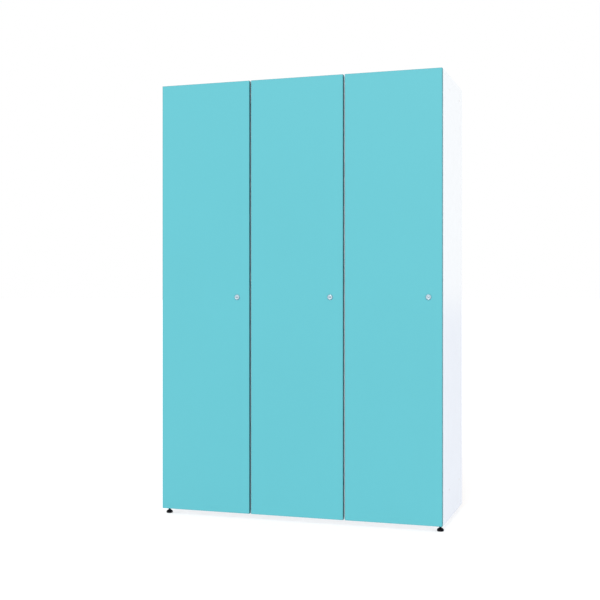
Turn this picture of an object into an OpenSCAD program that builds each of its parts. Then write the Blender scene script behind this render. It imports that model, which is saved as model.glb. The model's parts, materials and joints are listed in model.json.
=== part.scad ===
// Three-door wardrobe locker in melamine board: full-height flat doors on cup
// hinges, a quarter-turn cam lock on each door, a hat shelf and a hanging rail
// in each compartment, and four screw-in dome feet.
// Origin: middle of the footprint, on the floor. +Z is up, the doors face -Y.

/* [Cabinet] */
// Overall width of the carcass
cabinet_w = 1200; // [1140:10:1500]
// Height of the carcass, from the underside of the bottom to the top
carcass_h = 1800; // [1500:10:2000]
// Depth of the carcass without the doors
carcass_d = 475; // [400:5:560]
// Thickness of every board and door
board = 16; // [15:0.5:18]
// Thickness of the back panel
back_t = 3; // [2.5:0.5:4]
// Thickness of the edge bands
band_t = 1; // [0.5:0.1:2]

/* [Doors] */
// Gap between two neighbouring doors
door_gap = 8; // [4:0.5:10]
// How far the outer doors stay inside the sides
door_inset = 1; // [0.5:0.5:2]
// How far the doors stop short of the top and the underside
door_reveal = 2; // [1:0.5:4]
// Space between the back of a door and the carcass
door_clear = 3.2; // [3:0.1:4]
// Hinges on each door
hinge_n = 4; // [3:1:5]
// Height of the first and last hinge from the door's ends
hinge_end = 100; // [80:5:140]

/* [Interior] */
// Underside of the hat shelf, above the underside of the carcass
shelf_z = 1480; // [1300:10:1560]
// How far the shelf stays behind the front of the carcass
shelf_back = 15; // [10:1:30]
// Outer diameter of the hanging rail
rail_d = 25; // [20:1:30]
// Drop from the underside of the shelf to the middle of the rail
rail_drop = 60; // [50:5:90]

/* [Locks] */
// Distance from the middle of the lock to the free edge of its door
lock_edge = 54; // [50:1:60]
// Diameter of the lock's collar where it meets the front of the door
collar_d = 23.5; // [22:0.5:26]
// How far the collar stands out from the door
collar_h = 2.8; // [2:0.1:4]
// Length of the cam from the lock's middle to its tip
cam_len = 35; // [33:0.5:36]

/* [Feet and ganging holes] */
// Height of a foot below the carcass
foot_h = 24; // [18:1:30]
// Largest diameter of a foot
foot_d = 28; // [24:1:30]
// Middle of a front foot, in from the outer side
foot_in = 15; // [15:0.5:20]
// Middle of a back foot, in from the outer side
back_foot_in = 46; // [44:1:80]
// Middle of a front foot, behind the front of the carcass
foot_front = 22; // [18:1:34]
// Middle of a back foot, in front of the back of the carcass
foot_back = 40; // [20:1:60]
// Diameter of the ganging holes in the sides
tie_d = 6; // [5:0.5:8]
// Ganging holes behind the front of the carcass
tie_y = [139, 395];
// Ganging holes above the underside of the carcass
tie_z = [120, 1742];

/* [Hidden] */
$fn = 48;

// Depth positions, front to back
total_d = collar_h + board + door_clear + carcass_d;
door_front = -total_d / 2 + collar_h;
door_back = door_front + board;
front = door_back + door_clear;
board_d = carcass_d - back_t;
board_back = front + board_d;

// Height positions
base = foot_h;
top = base + carcass_h;
mid_z = base + carcass_h / 2;
inner_h = carcass_h - 2 * board;
shelf_under = base + shelf_z;
rail_z = shelf_under - rail_drop;
rail_y = front + board_d / 2;

// Doors and partitions; compartment i is left, middle or right for 0, 1, 2
COMPARTMENTS = [0, 1, 2];
door_w = (cabinet_w - 2 * door_inset - 2 * door_gap) / 3;
door_h = carcass_h - 2 * door_reveal;
door_x = [for (i = COMPARTMENTS) -cabinet_w / 2 + door_inset + i * (door_w + door_gap)];
gap_x = [for (i = [1, 2]) door_x[i] - door_gap / 2];
wall_mid = [-cabinet_w / 2 + board / 2, gap_x[0], gap_x[1], cabinet_w / 2 - board / 2];
space_lo = [for (i = COMPARTMENTS) wall_mid[i] + board / 2];
space_hi = [for (i = COMPARTMENTS) wall_mid[i + 1] - board / 2];

// Hinge: the pin stands inside the cup, near the hinged edge of the door
cup_d = 35;
cup_wall = 1;
cup_depth = 12.3;
cup_in = 20.5;
cup_flange_t = 1.2;
pin_in = 7.5;
pin_deep = 8.5;
pin_r = 1.2;
eye_r = 1.25;
eye_out = 2.4;
ear_t = 1.5;
ear_gap = 0.3;
arm_half = 5.2;
arm_t = 2;
arm_screw_r = 2;
arm_screw_head_r = 4;
plate_y = front + 37;
plate_screw_z = 16;
plate_t = 2;
plate_spine_t = 2.9;
arm_back = 50;
arm_screw_y = arm_back - 2;
hinge_z = [for (k = [0:hinge_n - 1])
    base + door_reveal + hinge_end + k * (door_h - 2 * hinge_end) / (hinge_n - 1)];
cup_screw_z = 22.5;
cup_screw_in = 30;

// Screws: radius of the shank, of the head and length
wood_r = 1.7;
wood_head_r = 3.4;
wood_head_h = 1.6;
wood_len = 11;
slack = 0.05;

// Confirmat screws through the top and the bottom into the upright boards
confirmat_y = [for (d = [45, 236, 427]) front + d];
confirmat_r = 3.4;
confirmat_head_r = 5;
confirmat_head_h = 3.2;
confirmat_len = 50;
confirmat_hex_r = 2.3;
cap_r = 6;
cap_h = 0.8;
cap_rim = 0.4;

// Shelf pegs
peg_r = 2.5;
peg_in = 7.2;
peg_y = [front + shelf_back + 40, front + board_d - 60];
peg_out = 8;

// Back nails along the edges and the partitions
nail_r = 0.8;
nail_len = 18;
nail_head_r = 2.2;
nail_head_h = 0.6;
nail_rows = 9;
nail_cols = 3;

// Rail sockets
socket_wall = 2;
socket_len = 12;
socket_flange_r = 25;
socket_flange_t = 2.5;
socket_screw_r = 19.5;

// Cam lock
barrel_r = 9;
plug_r = 5.5;
collar_lip = 0.4;
collar_face_r = collar_d / 2 - 2.2;
rim_in = 6.6;
rim_edge = 0.25;
dish_deep = 1.4;
dish_h = collar_h - dish_deep;
plug_proud = 0.3;
tail = 6.6;
nut_af = 24;
nut_t = 5;
bolt_r = 1.95;
bolt_len = 5.5;
bolt_head_r = 5.8;
bolt_head_h = 3;
cam_lo = 6.7;
cam_t = 2.5;
cam_w = 17;
strike_t = 1.6;
strike_lo = 4.6;
strike_half = 20;
strike_base = 22;
strike_overlap = 8;
strike_screw_z = 13;
strike_screw_y = 19 - door_clear;

// Feet
stem_r = 4;
insert_r = 5.5;
insert_len = 13;
stem_len = 12.8;
neck_r = stem_r + 0.8;
// In from the side and depth of the front and the back pair, then [x, y] of every foot
foot_pairs = [[foot_in, front + foot_front], [back_foot_in, board_back - foot_back]];
foot_xy = [for (side = [-1, 1]) for (pair = foot_pairs) [side * (cabinet_w / 2 - pair[0]), pair[1]]];

white = [0.95, 0.95, 0.96];
turquoise = [0.36, 0.75, 0.80];
steel = [0.72, 0.73, 0.75];
nickel = [0.80, 0.82, 0.84];
zinc = [0.66, 0.67, 0.70];
black = [0.08, 0.08, 0.09];
hardboard = [0.86, 0.84, 0.80];
clear_plastic = [0.85, 0.88, 0.90];

// ---------- shared shapes ----------

// A box from its low corner
module box(low, size) translate(low) cube(size);

// A cylinder along +X or +Y, from its start
module rod_x(r, l) rotate([0, 90, 0]) cylinder(r = r, h = l);
module rod_y(r, l) rotate([-90, 0, 0]) cylinder(r = r, h = l);

// Wood screw with a domed head, its head seated at the origin and its shank along +X
module wood_screw() {
    rod_x(wood_r, wood_len);
    difference() {
        rotate([0, -90, 0]) rotate_extrude() polygon([[0, 0], [wood_head_r, 0],
            [wood_head_r * 0.92, wood_head_h / 2], [wood_head_r * 0.6, wood_head_h], [0, wood_head_h]]);
        for (a = [0, 90]) rotate([a, 0, 0])
            box([-wood_head_h - 0.1, -wood_head_r / 2, -0.35], [0.9, wood_head_r, 0.7]);
    }
}

// Pilot hole for a wood screw, along +X
module wood_pilot() translate([-0.1, 0, 0]) rod_x(wood_r + slack, wood_len + 0.4);

// Clearance hole for a wood screw through a metal fitting, along +X
module fitting_hole() rod_x(wood_r + 0.1, 5);

// Runs its children at every confirmat place of board w, at the top or the bottom
module at_confirmats(w) for (y = confirmat_y) {
    translate([wall_mid[w], y, top]) mirror([0, 0, 1]) children();
    translate([wall_mid[w], y, base]) children();
}

// Confirmat screw from the outer face of a board at z = 0 into the next board
module confirmat() difference() {
    union() {
        translate([0, 0, cap_h]) cylinder(r = confirmat_r, h = confirmat_len - cap_h);
        translate([0, 0, cap_h]) cylinder(r = confirmat_head_r, h = confirmat_head_h);
    }
    translate([0, 0, cap_h - 0.1]) cylinder(r = confirmat_hex_r, h = confirmat_head_h, $fn = 6);
}

module confirmat_hole() {
    translate([0, 0, -0.1]) cylinder(r = confirmat_r + slack, h = confirmat_len + 0.6);
    translate([0, 0, -0.1]) cylinder(r = confirmat_head_r + slack, h = cap_h + confirmat_head_h + 0.1);
}

// Snap cap that covers a confirmat head
module confirmat_cap() {
    cylinder(r = confirmat_head_r - 0.1, h = cap_h);
    translate([0, 0, -cap_rim]) cylinder(r = cap_r, h = cap_rim);
}

// Back nails: [x, z] of each nail, along the four upright boards, the top and the bottom
nail_z = [for (k = [0:nail_rows]) base + board + 40 + k * (inner_h - 80) / nail_rows];
function nails_upright(w) = [for (z = nail_z) [wall_mid[w], z]];
function nails_level(z) = [for (i = COMPARTMENTS) for (k = [1:nail_cols])
    [space_lo[i] + k * (space_hi[i] - space_lo[i]) / (nail_cols + 1), z]];
nails_all = concat(nails_upright(0), nails_upright(1), nails_upright(2), nails_upright(3),
    nails_level(base + board / 2), nails_level(top - board / 2));

module at_nails(places) for (p = places) translate([p[0], front + carcass_d, p[1]]) children();

module nail() {
    translate([0, -nail_len, 0]) rod_y(nail_r, nail_len - nail_head_h);
    translate([0, -nail_head_h, 0]) rod_y(nail_head_r, nail_head_h);
}

module nail_hole() {
    translate([0, -nail_len - 0.4, 0]) rod_y(nail_r + slack, nail_len);
    translate([0, -nail_head_h, 0]) rod_y(nail_head_r + slack, nail_head_h + 0.1);
}

// Places on the walls of compartment i: children face +X on the left, -X on the right
module on_left(i) translate([space_lo[i], 0, 0]) children();
module on_right(i) translate([space_hi[i], 0, 0]) mirror([1, 0, 0]) children();

// Screw places on a wall, from that wall's face, with the screw pointing into the board
module into_wall(y, z, out = 0) translate([out, y, z]) mirror([1, 0, 0]) children();

module at_plate_screws() for (z = hinge_z) for (s = [-1, 1])
    into_wall(plate_y, z + s * plate_screw_z, plate_t) children();
module at_socket_screws(turn) for (s = [-1, 1])
    into_wall(rail_y + s * socket_screw_r * (1 - turn), rail_z + s * socket_screw_r * turn,
        socket_flange_t) children();
module at_strike_screws() for (s = [-1, 1])
    into_wall(front + strike_screw_y, mid_z + s * strike_screw_z, strike_t) children();

module at_pegs() for (y = peg_y) translate([0, y, shelf_under - peg_r]) children();

module peg_holes() at_pegs() translate([-peg_in - 0.3, 0, 0]) rod_x(peg_r + slack, peg_in + 0.4);

// Holes that the fittings need in the left and in the right wall of compartment i
module left_wall_holes(i) on_left(i) {
    at_plate_screws() wood_pilot();
    at_socket_screws(1) wood_pilot();
    peg_holes();
}
module right_wall_holes(i) on_right(i) {
    at_strike_screws() wood_pilot();
    at_socket_screws(0) wood_pilot();
    peg_holes();
}

// ---------- carcass boards ----------

// Upright board number w, from left to right
module upright(w) difference() {
    box([wall_mid[w] - board / 2, front + band_t, base + board], [board, board_d - band_t, inner_h]);
    at_confirmats(w) confirmat_hole();
    at_nails(nails_upright(w)) nail_hole();
    if (w < 3) left_wall_holes(w);
    if (w > 0) right_wall_holes(w - 1);
}

// Ganging holes through an outer side
module tie_holes(w) for (y = tie_y) for (z = tie_z)
    translate([wall_mid[w] - board, front + y, base + z]) rod_x(tie_d / 2, 2 * board);

module left_side_panel() color(white) difference() { upright(0); tie_holes(0); }
module right_side_panel() color(white) difference() { upright(3); tie_holes(3); }
module left_partition() color(white) upright(1);
module right_partition() color(white) upright(2);

// Top or bottom board with its low face at z
module level_board(z) difference() {
    box([-cabinet_w / 2, front + band_t, z], [cabinet_w, board_d - band_t, board]);
    for (w = [0:3]) at_confirmats(w) confirmat_hole();
    at_nails(nails_level(z + board / 2)) nail_hole();
}

module top_panel() color(white) level_board(top - board);
module bottom_panel() color(white) difference() {
    level_board(base);
    for (p = foot_xy) translate([p[0], p[1], base - 0.1]) {
        cylinder(r = insert_r + slack, h = insert_len + 0.2);
        cylinder(r = stem_r + 0.2, h = insert_len + 1);
    }
}

module back_panel() color(hardboard) difference() {
    box([-cabinet_w / 2 + 1, board_back, base + 1], [cabinet_w - 2, back_t, carcass_h - 2]);
    at_nails(nails_all) nail_hole();
}

// Strips along the front edges of the boards and the shelves
module carcass_edge_bands() color(white) {
    for (x = wall_mid)
        box([x - board / 2, front, base + board + slack], [board, band_t, inner_h - 2 * slack]);
    for (z = [base, top - board]) box([-cabinet_w / 2, front, z], [cabinet_w, band_t, board]);
    for (i = COMPARTMENTS) box([space_lo[i] + 0.5, front + shelf_back, shelf_under],
        [space_hi[i] - space_lo[i] - 1, band_t, board]);
}

// ---------- interior fittings ----------

module hat_shelf(i) color(white)
    box([space_lo[i] + 0.5, front + shelf_back + band_t, shelf_under],
        [space_hi[i] - space_lo[i] - 1, board_d - shelf_back - band_t - 1, board]);

module left_hat_shelf() hat_shelf(0);
module middle_hat_shelf() hat_shelf(1);
module right_hat_shelf() hat_shelf(2);

// Peg pushed into the wall, with a collar and a support nose under the shelf
module shelf_peg() {
    translate([-peg_in, 0, 0]) rod_x(peg_r, peg_in + peg_out);
    difference() {
        rod_x(peg_r + 1.2, 1);
        box([-1, -5, peg_r], [3, 10, 5]);
    }
}

module shelf_pins() color(nickel) for (i = COMPARTMENTS) {
    on_left(i) at_pegs() shelf_peg();
    on_right(i) at_pegs() shelf_peg();
}

module clothes_rail(i) color(nickel) difference() {
    translate([space_lo[i] + socket_flange_t, rail_y, rail_z])
        rod_x(rail_d / 2, space_hi[i] - space_lo[i] - 2 * socket_flange_t);
    translate([space_lo[i], rail_y, rail_z]) rod_x(rail_d / 2 - 1.5, space_hi[i] - space_lo[i]);
}

module left_clothes_rail() clothes_rail(0);
module middle_clothes_rail() clothes_rail(1);
module right_clothes_rail() clothes_rail(2);

// Flanged cup that holds the end of a rail, on a wall's face
module rail_socket(turn) difference() {
    translate([0, rail_y, rail_z]) {
        rod_x(socket_flange_r, socket_flange_t);
        rod_x(rail_d / 2 + slack + socket_wall, socket_len);
    }
    translate([socket_flange_t, rail_y, rail_z]) rod_x(rail_d / 2 + slack, socket_len);
    at_socket_screws(turn) translate([-1, 0, 0]) fitting_hole();
}

module rail_sockets() color(nickel) for (i = COMPARTMENTS) {
    on_left(i) rail_socket(1);
    on_right(i) rail_socket(0);
}

// ---------- fixings ----------

module confirmat_screws() color(zinc) for (w = [0:3]) at_confirmats(w) confirmat();
module screw_caps() color(white) for (w = [0:3]) at_confirmats(w) confirmat_cap();
module back_nails() color(zinc) at_nails(nails_all) nail();

module panel_screws() color(zinc) for (i = COMPARTMENTS) {
    on_left(i) { at_plate_screws() wood_screw(); at_socket_screws(1) wood_screw(); }
    on_right(i) { at_strike_screws() wood_screw(); at_socket_screws(0) wood_screw(); }
}

// ---------- hinges ----------

// Plate on a wall's face: a spine under the arm and a wing with the two screws
module hinge_plate() difference() {
    union() {
        box([0, plate_y - 6.5, -plate_screw_z - 8], [plate_t, 13, 2 * plate_screw_z + 16]);
        box([0, front + 14, -6.5], [plate_spine_t, arm_back - 3, 13]);
    }
    for (s = [-1, 1]) translate([-1, plate_y, s * plate_screw_z]) fitting_hole();
    translate([-1, front + arm_screw_y, 0]) rod_x(arm_screw_r + slack, 6);
}

module hinge_plates() color(steel) for (i = COMPARTMENTS)
    for (z = hinge_z) on_left(i) translate([0, 0, z]) hinge_plate();

// A path with its corners cut, so that a few rounds of it turn a bend into a curve
function cut_corners(path, rounds) = rounds == 0 ? path : cut_corners(concat([path[0]],
    [for (k = [0:len(path) - 2]) for (t = [0.25, 0.75]) path[k] * (1 - t) + path[k + 1] * t],
    [path[len(path) - 1]]), rounds - 1);

// Sideways step from point k of a path to the edge of a band of half thickness 1 round it
function heading(path, k) = let (d = path[k + 1] - path[k]) d / norm(d);
function sideways(path, k) =
    let (before = heading(path, max(k - 1, 0)), after = heading(path, min(k, len(path) - 2)),
        mean = (before + after) / norm(before + after))
    [-mean[1], mean[0]] / (mean * before);

// Band of constant thickness round a path, in plan
module neck_band(path) {
    last = len(path) - 1;
    polygon(concat([for (k = [0:last]) path[k] + sideways(path, k) * arm_t / 2],
        [for (k = [last:-1:0]) path[k] - sideways(path, k) * arm_t / 2]));
}

// Neck paths from the pin, in the plan of the door: right of its hinged edge, behind its back
arm_start = [[12.2, -8.1], [15.6, -8.9], [18.5, -8.2], [20.7, -4.9], [21.7, 0.2], [21, 4]];
arm_full = concat(arm_start, [[19.8, 6.5], [19.8, 14]]);
arm_half_overlay = concat(arm_start, [[14.5, 9], [10, 13], [9, 18]]);

// Arm in the door's plan, with the channel that sits on the plate at distance face from the edge
module hinge_arm(face, path, start) {
    low = face + plate_spine_t + 0.1;
    difference() {
        union() {
            translate([0, 0, -arm_half]) linear_extrude(height = 2 * arm_half)
                neck_band(cut_corners(concat([[pin_in, -pin_deep]], path), 2));
            translate([pin_in, -pin_deep, -arm_half]) cylinder(r = eye_out, h = 2 * arm_half);
            box([low, start, -arm_half - 1], [8, door_clear + arm_back + 8 - start, 2 * arm_half + 2]);
        }
        translate([pin_in, -pin_deep, -arm_half - 1]) cylinder(r = eye_r, h = 2 * arm_half + 2);
        box([low + 1.5, start + 16, -arm_half + 0.5], [8, 8, 2 * arm_half - 1]);
        translate([low - 1, door_clear + arm_screw_y, 0]) {
            rod_x(arm_screw_r + slack, 12);
            translate([6, 0, 0]) rod_x(arm_screw_head_r + 0.2, 6);
        }
    }
}

// Runs its children at every hinge of door i, in the plan of that door
module at_hinges(i) for (z = hinge_z) translate([door_x[i], door_back, z]) children();

module full_overlay_hinge_arms() color(steel)
    at_hinges(0) hinge_arm(space_lo[0] - door_x[0], arm_full, 8);
module half_overlay_hinge_arms() color(steel) for (i = [1, 2])
    at_hinges(i) hinge_arm(space_lo[i] - door_x[i], arm_half_overlay, 15);

// Machine screw that holds each arm to its plate
module hinge_arm_screws() color(zinc) for (i = COMPARTMENTS) for (z = hinge_z)
    on_left(i) translate([0.3, front + arm_screw_y, z]) difference() {
        union() {
            rod_x(arm_screw_r, 9);
            translate([7.7, 0, 0]) rod_x(arm_screw_head_r, 2.4);
        }
        for (a = [0, 90]) rotate([a, 0, 0]) box([8.7, -2.2, -0.5], [3, 4.4, 1]);
    }

// Cup pressed into the back of a door: shell, flange with two screw ears, pin ears
module hinge_cup() difference() {
    union() {
        translate([cup_in, 0, 0]) rotate([90, 0, 0]) cylinder(d = cup_d, h = cup_depth);
        intersection() {
            union() {
                translate([cup_in, 0, 0]) rod_y(cup_d / 2 + 1.5, cup_flange_t);
                box([cup_in - 4, 0, -cup_screw_z - 6], [18, cup_flange_t, 2 * cup_screw_z + 12]);
            }
            box([2.6, -1, -40], [60, 4, 80]);
        }
    }
    difference() {
        translate([cup_in, -cup_depth + cup_wall, 0])
            rod_y(cup_d / 2 - cup_wall, cup_depth + cup_flange_t);
        for (s = [-1, 1]) translate([0, 0, s * (arm_half + ear_gap + ear_t / 2)])
            box([2.5, -cup_depth, -ear_t / 2], [10.5, cup_depth - 2, ear_t]);
    }
    box([0, 0, -arm_half - 0.8], [9, 3, 2 * arm_half + 1.6]);
    translate([pin_in, -pin_deep, -10]) cylinder(r = pin_r, h = 20);
    for (s = [-1, 1]) translate([cup_screw_in, -1, s * cup_screw_z]) rotate([0, 0, 90]) fitting_hole();
}

module hinge_cups(i) color(nickel) at_hinges(i) hinge_cup();
module left_hinge_cups() hinge_cups(0);
module middle_hinge_cups() hinge_cups(1);
module right_hinge_cups() hinge_cups(2);

pin_half = arm_half + ear_gap + ear_t;
module hinge_pins(i) color(steel) at_hinges(i)
    translate([pin_in, -pin_deep, -pin_half]) cylinder(r = pin_r, h = 2 * pin_half);
module left_hinge_pins() hinge_pins(0);
module middle_hinge_pins() hinge_pins(1);
module right_hinge_pins() hinge_pins(2);

module at_cup_screws(i) at_hinges(i) for (s = [-1, 1])
    translate([cup_screw_in, cup_flange_t, s * cup_screw_z]) rotate([0, 0, -90]) children();
module cup_screws(i) color(zinc) at_cup_screws(i) wood_screw();
module left_cup_screws() cup_screws(0);
module middle_cup_screws() cup_screws(1);
module right_cup_screws() cup_screws(2);

// ---------- doors ----------

door_z = base + door_reveal;
function lock_x(i) = door_x[i] + door_w - lock_edge;

module door_panel(i) color(turquoise) difference() {
    box([door_x[i] + band_t, door_front, door_z + band_t],
        [door_w - 2 * band_t, board, door_h - 2 * band_t]);
    at_hinges(i) translate([cup_in, -cup_depth - slack, 0]) rod_y(cup_d / 2 + slack, cup_depth + 1);
    at_cup_screws(i) wood_pilot();
    translate([lock_x(i), door_front - 1, mid_z]) rod_y(barrel_r + 0.2, board + 2);
}

module left_door_panel() door_panel(0);
module middle_door_panel() door_panel(1);
module right_door_panel() door_panel(2);

// Four strips round the edges of a door
module door_edge_bands(i) color(turquoise) {
    for (x = [door_x[i], door_x[i] + door_w - band_t])
        box([x, door_front, door_z], [band_t, board, door_h]);
    for (z = [door_z, door_z + door_h - band_t])
        box([door_x[i] + band_t + slack, door_front, z],
            [door_w - 2 * (band_t + slack), board, band_t]);
}

module left_door_edge_bands() door_edge_bands(0);
module middle_door_edge_bands() door_edge_bands(1);
module right_door_edge_bands() door_edge_bands(2);

// Soft buffers on the back of a door that meet the edges of the top and bottom boards
bumper_r = 4;
bumper_dome_r = 6;
bumper_h = door_clear - 0.3;
bumper_in = 30;
module door_bumpers(i) color(clear_plastic)
    for (z = [door_z + board / 2 - door_reveal + 1, door_z + door_h - board / 2 + door_reveal - 1])
        translate([door_x[i] + door_w - bumper_in, door_back, z])
            rotate([-90, 0, 0]) intersection() {
                cylinder(r = bumper_r, h = bumper_h);
                translate([0, 0, bumper_h - bumper_dome_r]) sphere(r = bumper_dome_r);
            }

module left_door_bumpers() door_bumpers(0);
module middle_door_bumpers() door_bumpers(1);
module right_door_bumpers() door_bumpers(2);

// ---------- cam locks ----------

// Runs its children at the lock of door i, on its axis at the back face of the door
module at_lock(i) translate([lock_x(i), door_back, mid_z]) children();

// Threaded barrel, bored for the plug, with a dished front collar that widens towards the door
housing_end = 6.2;
module lock_housing(i) color(nickel) at_lock(i) difference() {
    union() {
        translate([0, -board, 0]) rod_y(barrel_r, board + housing_end);
        translate([0, -board, 0]) rotate([90, 0, 0]) rotate_extrude($fn = 96)
            polygon([[0, 0], [collar_d / 2, 0], [collar_d / 2, collar_lip],
                [collar_face_r, collar_h - rim_edge], [collar_face_r - rim_edge, collar_h],
                [rim_in + rim_edge, collar_h], [rim_in, collar_h - rim_edge],
                [rim_in, dish_h], [0, dish_h]]);
    }
    translate([0, -board - collar_h - 1, 0]) rod_y(plug_r + slack, board + collar_h + housing_end + 2);
}

module left_lock_housing() lock_housing(0);
module middle_lock_housing() lock_housing(1);
module right_lock_housing() lock_housing(2);

// Hexagonal nut that clamps the barrel to the door
module lock_nut(i) color(zinc) at_lock(i) difference() {
    rotate([-90, 0, 0]) cylinder(d = nut_af / cos(30), h = nut_t, $fn = 6);
    translate([0, -1, 0]) rod_y(barrel_r + slack, nut_t + 2);
}

module left_lock_nut() lock_nut(0);
module middle_lock_nut() lock_nut(1);
module right_lock_nut() lock_nut(2);

// Plug with the level keyway in its face and a square tail for the cam
key_w = 9;
key_h = 2.2;
key_deep = 9;
plug_face = board + dish_h + plug_proud;
module lock_plug(i) color(nickel) at_lock(i) difference() {
    union() {
        translate([0, -plug_face, 0]) rod_y(plug_r, plug_face + housing_end + 0.3);
        box([-tail / 2, 0, -tail / 2], [tail, cam_lo + cam_t, tail]);
    }
    box([-key_w / 2, -plug_face - 1, -key_h / 2], [key_w, key_deep, key_h]);
    translate([0, cam_lo + cam_t - 6, 0]) rod_y(bolt_r + slack, 7);
}

module left_lock_plug() lock_plug(0);
module middle_lock_plug() lock_plug(1);
module right_lock_plug() lock_plug(2);

// Flat cam on the tail, hanging down when unlocked, with the bolt that holds it
module lock_cam(i) color(steel) at_lock(i) {
    difference() {
        union() {
            translate([0, cam_lo, 0]) rod_y(cam_w / 2, cam_t);
            translate([0, cam_lo, 0]) intersection() {
                rod_y(cam_len, cam_t);
                box([-cam_w / 2, 0, -cam_len], [cam_w, cam_t, cam_len]);
            }
        }
        box([-tail / 2 - slack, cam_lo - 1, -tail / 2 - slack],
            [tail + 2 * slack, cam_t + 2, tail + 2 * slack]);
    }
    translate([0, cam_lo + cam_t + slack, 0]) {
        translate([0, -bolt_len, 0]) rod_y(bolt_r, bolt_len);
        rotate([-90, 0, 0]) cylinder(r = bolt_head_r, h = bolt_head_h, $fn = 6);
    }
}

module left_lock_cam() lock_cam(0);
module middle_lock_cam() lock_cam(1);
module right_lock_cam() lock_cam(2);

// Angle on the right wall of each compartment that the cam turns behind
function strike_leg(i) = space_hi[i] - lock_x(i) - cam_len + strike_overlap;
module strike_plates() color(steel) for (i = COMPARTMENTS)
    on_right(i) translate([0, door_back + strike_lo, mid_z]) difference() {
        union() {
            box([0, 0, -strike_half], [strike_t, strike_base, 2 * strike_half]);
            box([0, 0, -strike_half], [strike_leg(i), strike_t, 2 * strike_half]);
        }
        for (s = [-1, 1])
            translate([-1, front + strike_screw_y - door_back - strike_lo, s * strike_screw_z])
                fitting_hole();
    }

// ---------- feet ----------

// Threaded sleeve in the bottom board
module foot_inserts() color(zinc) for (p = foot_xy) translate([p[0], p[1], base]) difference() {
    cylinder(r = insert_r, h = insert_len);
    translate([0, 0, -1]) cylinder(r = stem_r + slack, h = insert_len + 2);
}

// Point of the dome's outline at height z: two quarter ellipses that meet at its widest height
foot_belly = foot_h / 6;
dome_below = 0.35 * foot_h;
dome_above = 0.42 * foot_h;
dome_steps = 16;
dome_step = (foot_belly + dome_above) / dome_steps;
dome_top = dome_step * (dome_steps - 1);
function dome(z) = let (tall = z < foot_belly ? dome_below : dome_above)
    [foot_d / 2 * sqrt(1 - pow((z - foot_belly) / tall, 2)), z];

// Low dome foot with a neck, moulded round a threaded stem
module foot(k) color(black) translate([foot_xy[k][0], foot_xy[k][1], 0]) {
    rotate_extrude($fn = 96) polygon(concat([[0, 0]],
        [for (step = [0:dome_steps - 1]) dome(step * dome_step)], [[0, dome_top]]));
    cylinder(r = neck_r, h = foot_h);
    cylinder(r = stem_r, h = foot_h + stem_len);
}

module front_left_foot() foot(0);
module back_left_foot() foot(1);
module front_right_foot() foot(2);
module back_right_foot() foot(3);

left_side_panel();
right_side_panel();
left_partition();
right_partition();
top_panel();
bottom_panel();
back_panel();
left_hat_shelf();
middle_hat_shelf();
right_hat_shelf();
left_clothes_rail();
middle_clothes_rail();
right_clothes_rail();
rail_sockets();
shelf_pins();
carcass_edge_bands();
confirmat_screws();
screw_caps();
back_nails();
panel_screws();
hinge_plates();
full_overlay_hinge_arms();
half_overlay_hinge_arms();
hinge_arm_screws();
strike_plates();
foot_inserts();
front_left_foot();
front_right_foot();
back_left_foot();
back_right_foot();
left_door_panel();
middle_door_panel();
right_door_panel();
left_door_edge_bands();
middle_door_edge_bands();
right_door_edge_bands();
left_hinge_cups();
middle_hinge_cups();
right_hinge_cups();
left_hinge_pins();
middle_hinge_pins();
right_hinge_pins();
left_cup_screws();
middle_cup_screws();
right_cup_screws();
left_door_bumpers();
middle_door_bumpers();
right_door_bumpers();
left_lock_housing();
middle_lock_housing();
right_lock_housing();
left_lock_nut();
middle_lock_nut();
right_lock_nut();
left_lock_plug();
middle_lock_plug();
right_lock_plug();
left_lock_cam();
middle_lock_cam();
right_lock_cam();
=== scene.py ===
"""Looks of the three-door locker cabinet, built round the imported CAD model. Lengths are in metres."""

import json
import math

import bpy
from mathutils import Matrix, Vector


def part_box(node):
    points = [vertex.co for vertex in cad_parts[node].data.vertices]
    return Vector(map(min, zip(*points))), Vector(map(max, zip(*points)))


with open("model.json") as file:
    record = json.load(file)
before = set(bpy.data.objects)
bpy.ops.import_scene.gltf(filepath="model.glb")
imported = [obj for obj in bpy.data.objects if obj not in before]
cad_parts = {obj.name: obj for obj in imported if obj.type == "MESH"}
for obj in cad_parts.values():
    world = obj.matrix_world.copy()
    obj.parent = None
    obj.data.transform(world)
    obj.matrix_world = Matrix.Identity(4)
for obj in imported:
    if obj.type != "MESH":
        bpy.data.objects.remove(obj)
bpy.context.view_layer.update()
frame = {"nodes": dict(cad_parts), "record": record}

MM = 0.001
NODES = frame["nodes"]

# ---------- camera ----------

CAMERA_AT = (1.3047, -4.2748, 0.9193)
CAMERA_YAW = math.radians(17.74)  # turned left of the +Y direction, looking level
LENS = 62.206
SENSOR = 36.0
SHIFT_Y = -0.00275


def make_camera():
    data = bpy.data.cameras.new("camera")
    data.lens = LENS
    data.sensor_width = SENSOR
    data.shift_y = SHIFT_Y
    data.clip_end = 2000.0
    camera = bpy.data.objects.new("camera", data)
    camera.location = CAMERA_AT
    camera.rotation_euler = (math.pi / 2, 0.0, CAMERA_YAW)
    bpy.context.scene.collection.objects.link(camera)
    bpy.context.scene.camera = camera


# ---------- shader helpers ----------


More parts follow.
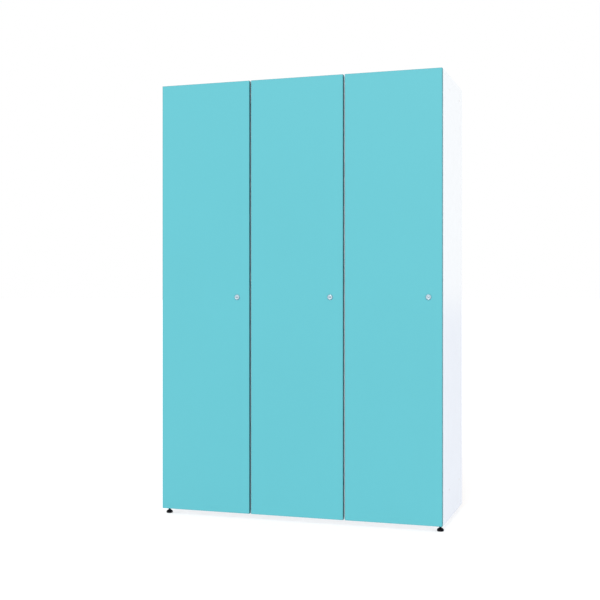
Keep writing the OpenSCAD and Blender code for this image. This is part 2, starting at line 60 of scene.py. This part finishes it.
class Shader:
    """A node material with short calls for the nodes that the finishes below share."""

    def __init__(self, name):
        self.material = bpy.data.materials.new(name)
        self.material.use_nodes = True
        self.tree = self.material.node_tree
        self.bsdf = self.tree.nodes["Principled BSDF"]
        self.coords = self.tree.nodes.new("ShaderNodeTexCoord")

    def put(self, node_input, value):
        """Links value if it is a socket, and sets it otherwise."""
        if isinstance(value, bpy.types.NodeSocket):
            self.tree.links.new(value, node_input)
        else:
            node_input.default_value = value

    def place(self, stretch=(1.0, 1.0, 1.0)):
        """Object coordinates in metres, stretched per axis."""
        node = self.tree.nodes.new("ShaderNodeMapping")
        self.put(node.inputs["Vector"], self.coords.outputs["Object"])
        node.inputs["Scale"].default_value = stretch
        return node.outputs["Vector"]

    def noise(self, scale, detail=2.0, roughness=0.5, stretch=(1.0, 1.0, 1.0)):
        node = self.tree.nodes.new("ShaderNodeTexNoise")
        self.put(node.inputs["Vector"], self.place(stretch))
        node.inputs["Scale"].default_value = scale
        node.inputs["Detail"].default_value = detail
        node.inputs["Roughness"].default_value = roughness
        return node.outputs["Fac"]

    def cells(self, scale, stretch=(1.0, 1.0, 1.0)):
        node = self.tree.nodes.new("ShaderNodeTexVoronoi")
        self.put(node.inputs["Vector"], self.place(stretch))
        node.inputs["Scale"].default_value = scale
        return node.outputs["Color"]

    def ramp(self, factor, *stops):
        """A colour ramp from (position, colour) stops, or a grey one from (position, value) stops."""
        node = self.tree.nodes.new("ShaderNodeValToRGB")
        self.put(node.inputs["Fac"], factor)
        points = node.color_ramp.elements
        while len(points) < len(stops):
            points.new(0.5)
        for point, (position, colour) in zip(points, stops):
            point.position = position
            point.color = (*colour, 1.0) if isinstance(colour, tuple) else (colour,) * 3 + (1.0,)
        return node.outputs["Color"]

    def maths(self, kind, *values):
        node = self.tree.nodes.new("ShaderNodeMath")
        node.operation = kind
        for node_input, value in zip(node.inputs, values):
            self.put(node_input, value)
        return node.outputs[0]

    def spread(self, factor, low, high):
        """Maps a 0 to 1 factor to low to high."""
        node = self.tree.nodes.new("ShaderNodeMapRange")
        self.put(node.inputs["Value"], factor)
        node.inputs["To Min"].default_value = low
        node.inputs["To Max"].default_value = high
        return node.outputs["Result"]

    def mix(self, factor, first, second, blend="MIX"):
        """Mixes two colours."""
        node = self.tree.nodes.new("ShaderNodeMix")
        node.data_type = "RGBA"
        node.blend_type = blend
        self.put(node.inputs["Factor"], factor)
        for name, value in (("A", first), ("B", second)):
            socket = next(s for s in node.inputs if s.name == name and s.type == "RGBA")
            self.put(socket, (*value, 1.0) if isinstance(value, tuple) else value)
        return next(s for s in node.outputs if s.type == "RGBA")

    def position(self, axis):
        """Component 0, 1 or 2 of the place on the object, in metres."""
        node = self.tree.nodes.new("ShaderNodeSeparateXYZ")
        self.put(node.inputs[0], self.coords.outputs["Object"])
        return node.outputs[axis]

    def normal(self, axis):
        """Component 0, 1 or 2 of the surface normal in the object's own frame."""
        node = self.tree.nodes.new("ShaderNodeSeparateXYZ")
        self.put(node.inputs[0], self.coords.outputs["Normal"])
        return node.outputs[axis]

    def bump(self, height, distance, strength=1.0):
        node = self.tree.nodes.new("ShaderNodeBump")
        node.inputs["Strength"].default_value = strength
        node.inputs["Distance"].default_value = distance
        self.put(node.inputs["Height"], height)
        self.put(self.bsdf.inputs["Normal"], node.outputs["Normal"])

    def finish(self, **inputs):
        """Sets the Principled BSDF's inputs by name, with _ for a space, and returns the material."""
        for name, value in inputs.items():
            if isinstance(value, tuple):
                value = (*value, 1.0)
            self.put(self.bsdf.inputs[name.replace("_", " ")], value)
        return self.material


# ---------- finishes ----------

WHITE = (0.82, 0.855, 0.89)
TURQUOISE = (0.082, 0.399, 0.453)
# door edge band: deeper than the door faces, partly the band's own tone and partly painted shade on the
# door edges
TURQUOISE_BAND_WITH_SHADE = (0.054, 0.272, 0.314)
CHIP_LIGHT = (0.62, 0.47, 0.30)
CHIP_MID = (0.45, 0.31, 0.18)
CHIP_DARK = (0.22, 0.14, 0.08)
LOCK_NICKEL = (0.67, 0.83, 0.88)
# painted shade and a painted reflection of the teal door on the lock collar's sloping skirt
SKIRT_PAINTED_SHADE_AND_REFLECTION = (0.26, 0.42, 0.47)
SKIRT_LEAN = 0.85  # the skirt is where the normal's part along Y is below this
SKIRT_DULL = 0.5
# painted shade inside the lock plug's keyway
KEYWAY_PAINTED_SHADE = (0.035, 0.037, 0.04)
KEYWAY_DULL = 0.6
KEYWAY_SHADE_START = 0.4 * MM  # depth behind the plug's face where the painted shade in the keyway starts
KEYWAY_END = 9.0 * MM
POLISH_SCALE = 2600.0
POLISH_DEPTH = 0.008 * MM
POLISH_SPREAD = 0.12


def tinted(shader, colour, amount, broad_scale=2.2, fine_scale=850.0):
    """The colour with a faint cloudiness and a fine speckle, each within the given amount."""
    broad = shader.spread(shader.noise(broad_scale, 3.0), 1.0 - amount, 1.0 + amount)
    fine = shader.spread(shader.noise(fine_scale, 1.0), 1.0 - amount, 1.0 + amount)
    level = shader.maths("MULTIPLY", broad, fine)
    return shader.mix(1.0, colour, level, "MULTIPLY")


def chipboard(shader, grain):
    """Pressed wood chips, longer along the grain, with their glue-dark gaps."""
    chips = shader.cells(420.0, grain)
    tone = shader.ramp(chips, (0.1, CHIP_DARK), (0.35, CHIP_MID), (0.8, CHIP_LIGHT))
    dust = shader.noise(1500.0, 3.0, 0.7, grain)
    return shader.mix(0.45, tone, shader.ramp(dust, (0.3, CHIP_MID), (0.7, CHIP_LIGHT)))


def melamine_board(name, colour, gloss, speckle, grain):
    """Melamine faces all round, and bare chipboard where the board is cut at the back."""
    shader = Shader(name)
    cut = shader.maths("GREATER_THAN", shader.maths("ABSOLUTE", shader.normal(1)), 0.5)
    colour = shader.mix(cut, tinted(shader, colour, speckle), chipboard(shader, grain))
    sheen = shader.spread(shader.noise(6.0, 3.0), gloss, gloss + 0.05)
    roughness = shader.maths("MAXIMUM", sheen, shader.maths("MULTIPLY", cut, 0.85))
    pores = shader.spread(cut, 0.12, 1.0)
    height = shader.maths("MULTIPLY", shader.noise(900.0, 2.0), pores)
    shader.bump(height, 0.15 * MM, 0.6)
    return shader.finish(Base_Color=colour, Roughness=roughness)


def melamine_door(name):
    """Satin turquoise melamine with a pearl speckle and an orange-peel press texture."""
    shader = Shader(name)
    shader.bump(shader.noise(700.0, 2.0), 0.02 * MM, 0.5)
    return shader.finish(
        Base_Color=tinted(shader, TURQUOISE, 0.02),
        Roughness=shader.spread(shader.noise(8.0, 3.0), 0.40, 0.46),
    )


def edge_band(name, colour, gloss, specular=0.5):
    """ABS strip with faint draw lines along its length, in the given colour; the turquoise band's
    colour is deeper than the doors', partly as painted shade.
    """
    shader = Shader(name)
    lines = shader.noise(1200.0, 2.0, 0.5, (1.0, 1.0, 0.01))
    shader.bump(lines, 0.01 * MM, 0.4)
    return shader.finish(
        Base_Color=tinted(shader, colour, 0.015),
        Roughness=shader.spread(lines, gloss, gloss + 0.06),
        Specular_IOR_Level=specular,
    )


def hardboard(name):
    """Back panel: lacquered white towards the inside, bare brown fibre behind and on its edges."""
    shader = Shader(name)
    inside = shader.maths("LESS_THAN", shader.normal(1), -0.5)
    fibre = shader.ramp(
        shader.noise(260.0, 6.0, 0.7, (1.0, 1.0, 0.35)),
        (0.25, (0.20, 0.115, 0.06)), (0.55, (0.33, 0.205, 0.12)), (0.8, (0.45, 0.30, 0.19)),
    )
    broad = shader.spread(shader.noise(3.0, 4.0), 0.9, 1.08)
    fibre = shader.mix(1.0, fibre, broad, "MULTIPLY")
    shader.bump(shader.noise(700.0, 4.0, 0.7), 0.08 * MM, 0.5)
    return shader.finish(
        Base_Color=shader.mix(inside, fibre, tinted(shader, WHITE, 0.015)),
        Roughness=shader.spread(inside, 0.75, 0.35),
    )


def metal(name, colour, gloss, brush=(1.0, 1.0, 1.0), lines=0.008):
    """Plated metal: a slightly uneven tone, fine polishing marks and cloudy gloss."""
    shader = Shader(name)
    marks = shader.noise(POLISH_SCALE, 3.0, 0.6, brush)
    shader.bump(marks, lines * MM, 0.5)
    cloud = shader.noise(120.0, 3.0)
    return shader.finish(
        Base_Color=shader.mix(cloud, tuple(0.93 * c for c in colour), colour),
        Roughness=shader.spread(marks, gloss, gloss + POLISH_SPREAD),
        Metallic=1.0,
    )


def two_tone_metal(shader, mask, colour, painted_shade_colour, gloss, masked_gloss):
    """Plated metal that is duller where the mask is 1 and there takes a painted shade colour in place
    of its own.
    """
    marks = shader.noise(POLISH_SCALE, 3.0, 0.6)
    shader.bump(marks, POLISH_DEPTH, 0.5)
    return shader.finish(
        Base_Color=shader.mix(mask, colour, painted_shade_colour),
        Roughness=shader.maths("MAXIMUM", shader.spread(marks, gloss, gloss + POLISH_SPREAD),
                               shader.maths("MULTIPLY", mask, masked_gloss)),
        Metallic=1.0,
    )


def collar_metal(name, colour, gloss):
    """Plated lock collar, whose sloping skirt is duller and painted a darker teal than its polished
    face, as painted shade and a painted reflection of the door.
    """
    shader = Shader(name)
    skirt = shader.maths("LESS_THAN", shader.maths("ABSOLUTE", shader.normal(1)), SKIRT_LEAN)
    return two_tone_metal(shader, skirt, colour, SKIRT_PAINTED_SHADE_AND_REFLECTION, gloss, SKIRT_DULL)


def keyed_metal(name, colour, gloss, face_y):
    """Plated plug whose keyway, behind its face, is dull and painted dark as shade."""
    shader = Shader(name)
    depth = shader.maths("SUBTRACT", shader.position(1), face_y)
    inside = shader.maths("MULTIPLY", shader.maths("GREATER_THAN", depth, KEYWAY_SHADE_START),
                          shader.maths("LESS_THAN", depth, KEYWAY_END))
    return two_tone_metal(shader, inside, colour, KEYWAY_PAINTED_SHADE, gloss, KEYWAY_DULL)


def plastic(name, colour, gloss, grain=0.03, specular=0.5):
    """Moulded plastic with a fine spark-eroded grain."""
    shader = Shader(name)
    grains = shader.noise(1800.0, 2.0, 0.6)
    shader.bump(grains, grain * MM, 0.5)
    return shader.finish(
        Base_Color=tinted(shader, colour, 0.04),
        Roughness=shader.spread(grains, gloss, gloss + 0.1),
        Specular_IOR_Level=specular,
    )


def soft_clear(name):
    """Clear polyurethane of the door bumpers."""
    shader = Shader(name)
    cloud = shader.noise(300.0, 2.0)
    return shader.finish(
        Base_Color=shader.ramp(cloud, (0.3, (0.80, 0.83, 0.85)), (0.7, (0.90, 0.92, 0.93))),
        Roughness=shader.spread(cloud, 0.12, 0.22),
        Transmission_Weight=0.6,
    )


ALONG_X = (0.3, 1.0, 1.0)
ALONG_Z = (1.0, 1.0, 0.3)

FINISHES = {
    "upright_board": melamine_board("upright_board", WHITE, 0.20, 0.012, ALONG_Z),
    "level_board": melamine_board("level_board", WHITE, 0.20, 0.012, ALONG_X),
    "white_edge_band": edge_band("white_edge_band", WHITE, 0.25),
    "turquoise_board": melamine_door("turquoise_board"),
    "turquoise_edge_band": edge_band("turquoise_edge_band", TURQUOISE_BAND_WITH_SHADE, 0.50, 0.2),
    "hardboard": hardboard("hardboard"),
    "white_plastic": plastic("white_plastic", (0.80, 0.81, 0.82), 0.35),
    "rail_chrome": metal("rail_chrome", (0.82, 0.83, 0.85), 0.06, (0.02, 1.0, 1.0), 0.002),
    "nickel": metal("nickel", (0.73, 0.71, 0.67), 0.22),
    "zinc_steel": metal("zinc_steel", (0.63, 0.64, 0.66), 0.34),
    "hinge_steel": metal("hinge_steel", (0.72, 0.71, 0.68), 0.20, (1.0, 0.1, 1.0)),
    "bright_steel": metal("bright_steel", (0.66, 0.67, 0.69), 0.30, (0.15, 1.0, 1.0)),
    "lock_nickel": collar_metal("lock_nickel", LOCK_NICKEL, 0.24),
    "lock_plug": keyed_metal("lock_plug", LOCK_NICKEL, 0.20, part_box("left_lock_plug")[0][1]),
    "black_plastic": plastic("black_plastic", (0.003, 0.003, 0.005), 0.34, 0.02, 0.09),
    "clear_rubber": soft_clear("clear_rubber"),
}


def finish_of(node, slot):
    """The finish for a node: its slot's, with the boards' grain and the plugs' keyway told apart."""
    if node.endswith("lock_plug"):
        return FINISHES["lock_plug"]
    if slot != "white_board":
        return FINISHES[slot]
    upright = node.endswith(("side_panel", "partition"))
    return FINISHES["upright_board" if upright else "level_board"]


# ---------- edges of the CAD nodes ----------

# Edge rounding of each material slot's nodes
ROUNDING = {
    "white_board": 0.25 * MM,
    "hardboard": 0.2 * MM,
    "white_edge_band": 0.25 * MM,
    "turquoise_edge_band": 0.3 * MM,
    "bright_steel": 0.25 * MM,
    "hinge_steel": 0.2 * MM,
    "lock_nickel": 0.2 * MM,
    "zinc_steel": 0.12 * MM,
    "nickel": 0.2 * MM,
    "rail_chrome": 0.2 * MM,
}


WELD_WITHIN = 0.001 * MM
SHARP_ABOVE = math.radians(40)


def round_edges(obj, width):
    """Rounds the sharp edges of an object and keeps its flat faces flat in the shading."""
    weld = obj.modifiers.new("weld", "WELD")
    weld.merge_threshold = WELD_WITHIN
    bevel = obj.modifiers.new("rounding", "BEVEL")
    bevel.width = width
    bevel.segments = 2
    bevel.limit_method = "ANGLE"
    bevel.angle_limit = SHARP_ABOVE
    bevel.use_clamp_overlap = True
    bevel.harden_normals = False
    shading = obj.modifiers.new("flat_faces", "WEIGHTED_NORMAL")
    shading.keep_sharp = True


def dress_nodes():
    slots = {s["node"]: s["material_slot"] for s in frame["record"]["subparts"]}
    for name, obj in NODES.items():
        slot = slots[name]
        obj.data.materials.clear()
        obj.data.materials.append(finish_of(name, slot))
        if slot in ROUNDING:
            round_edges(obj, ROUNDING[slot])


# ---------- floor and light ----------

FLOOR_HALF = 600.0
SKY = (1.0, 1.0, 1.0)
GROUND_GLOW = (0.74, 0.77, 0.89)
HORIZON = (0.488, 0.498)  # where the glow ends and the sky begins, 0 straight down and 1 straight up
FLOOR_GLOW = 0.55
SUN_STRENGTH = 1.6
SUN_SPREAD = math.radians(25)
SUN_TURN = (math.radians(50), 0.0, math.radians(-5))


def make_floor():
    """A wide white floor that glows a little, so that shadows on it stay faint."""
    mesh = bpy.data.meshes.new("floor")
    corners = [(x * FLOOR_HALF, y * FLOOR_HALF, 0.0) for x, y in ((-1, -1), (1, -1), (1, 1), (-1, 1))]
    mesh.from_pydata(corners, [], [(0, 1, 2, 3)])
    floor = bpy.data.objects.new("floor", mesh)
    bpy.context.scene.collection.objects.link(floor)
    shader = Shader("floor")
    tone = shader.ramp(shader.noise(1.5, 2.0), (0.3, (0.45, 0.45, 0.455)), (0.7, (0.46, 0.46, 0.465)))
    floor.data.materials.append(shader.finish(
        Base_Color=tone, Roughness=0.9, Emission_Color=(1.0, 1.0, 1.0), Emission_Strength=FLOOR_GLOW))
    floor.visible_glossy = False


def make_sky():
    """A white studio, with a pale blue ground below the horizon that only reflections see."""
    world = bpy.data.worlds.new("studio")
    world.use_nodes = True
    tree = world.node_tree
    background = tree.nodes["Background"]
    coords = tree.nodes.new("ShaderNodeTexCoord")
    split = tree.nodes.new("ShaderNodeSeparateXYZ")
    ramp = tree.nodes.new("ShaderNodeValToRGB")
    shift = tree.nodes.new("ShaderNodeMath")
    shift.operation = "ADD"
    shift.inputs[1].default_value = 0.5
    tree.links.new(coords.outputs["Generated"], split.inputs[0])
    tree.links.new(split.outputs["Z"], shift.inputs[0])
    tree.links.new(shift.outputs[0], ramp.inputs["Fac"])
    rays = tree.nodes.new("ShaderNodeLightPath")
    seen = tree.nodes.new("ShaderNodeMix")
    seen.data_type = "RGBA"
    tree.links.new(rays.outputs["Is Camera Ray"], seen.inputs["Factor"])
    first, second = (s for s in seen.inputs if s.type == "RGBA")
    tree.links.new(ramp.outputs["Color"], first)
    second.default_value = (*SKY, 1.0)
    result = next(s for s in seen.outputs if s.type == "RGBA")
    tree.links.new(result, background.inputs["Color"])
    low, high = ramp.color_ramp.elements
    low.position, low.color = HORIZON[0], (*GROUND_GLOW, 1.0)
    high.position, high.color = HORIZON[1], (*SKY, 1.0)
    background.inputs["Strength"].default_value = 1.0
    bpy.context.scene.world = world


def make_key_light():
    """A broad soft light from above, in front and to the left."""
    data = bpy.data.lights.new("key", "SUN")
    data.energy = SUN_STRENGTH
    data.angle = SUN_SPREAD
    light = bpy.data.objects.new("key", data)
    light.rotation_euler = SUN_TURN
    bpy.context.scene.collection.objects.link(light)


make_camera()
make_sky()
make_key_light()
make_floor()
dress_nodes()
bpy.context.scene.view_settings.view_transform = "Standard"
